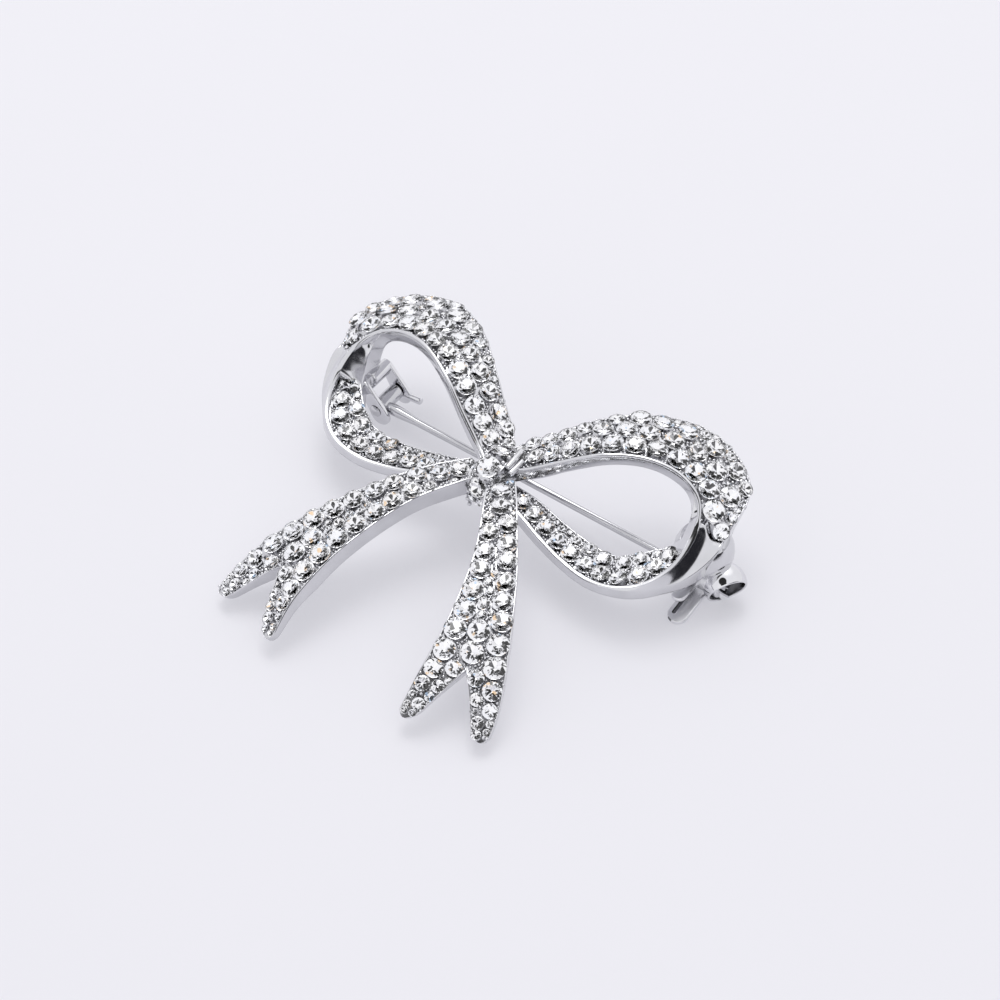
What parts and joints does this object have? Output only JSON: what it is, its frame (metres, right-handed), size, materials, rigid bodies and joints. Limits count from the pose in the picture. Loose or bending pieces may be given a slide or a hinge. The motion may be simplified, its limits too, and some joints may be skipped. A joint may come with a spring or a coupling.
{
  "type": "bow brooch",
  "caption": "Ribbon bow brooch with stone-set loops and forked tails, a hinged pin and a turning safety catch behind.",
  "frame": {"origin": "middle of the flat back of the knot, at the mount knot_back; the tail tips and the findings reach about 4.4 mm further back", "axes": "+X to the viewer's right as worn, +Y up towards the loops with the tails hanging towards -Y, +Z out of the front of the bow"},
  "size_m": [0.0488, 0.0408, 0.0123],
  "materials": {
    "plating": "bright rhodium-coloured plating over a cast body, mirror polished",
    "wire": "polished plated wire",
    "crystal": "clear faceted glass with foiled back"
  },
  "bodies": {
    "bow": {"bow_casting": "plating", "hinge_bracket": "plating", "hinge_rivet": "wire", "catch_housing": "plating", "stones_knot": "crystal", "stones_upper_rim_left": "crystal", "stones_upper_middle_left": "crystal", "stones_upper_outer_left": "crystal", "stones_lower_rim_left": "crystal", "stones_lower_inner_left": "crystal", "stones_tail_inner_left": "crystal", "stones_tail_outer_left": "crystal", "stones_tail_middle_left": "crystal", "stones_upper_rim_right": "crystal", "stones_upper_middle_right": "crystal", "stones_upper_outer_right": "crystal", "stones_lower_rim_right": "crystal", "stones_lower_inner_right": "crystal", "stones_tail_inner_right": "crystal", "stones_tail_outer_right": "crystal", "stones_tail_middle_right": "crystal"},
    "pin": {"pin_stem": "wire"},
    "sleeve": {"catch_sleeve": "plating"}
  },
  "joints": [
    {"name": "pin_open", "type": "hinge", "parent": "bow", "child": "pin", "pos_m": [-0.0174, 0.00585, -0.00215], "axis": [0, 1, 0], "range_deg": [0, 100]},
    {"name": "sleeve_turn", "type": "hinge", "parent": "bow", "child": "sleeve", "pos_m": [0.02, 0.00505, -0.00265], "axis": [1, 0, 0], "range_deg": [0, 110]}
  ]
}
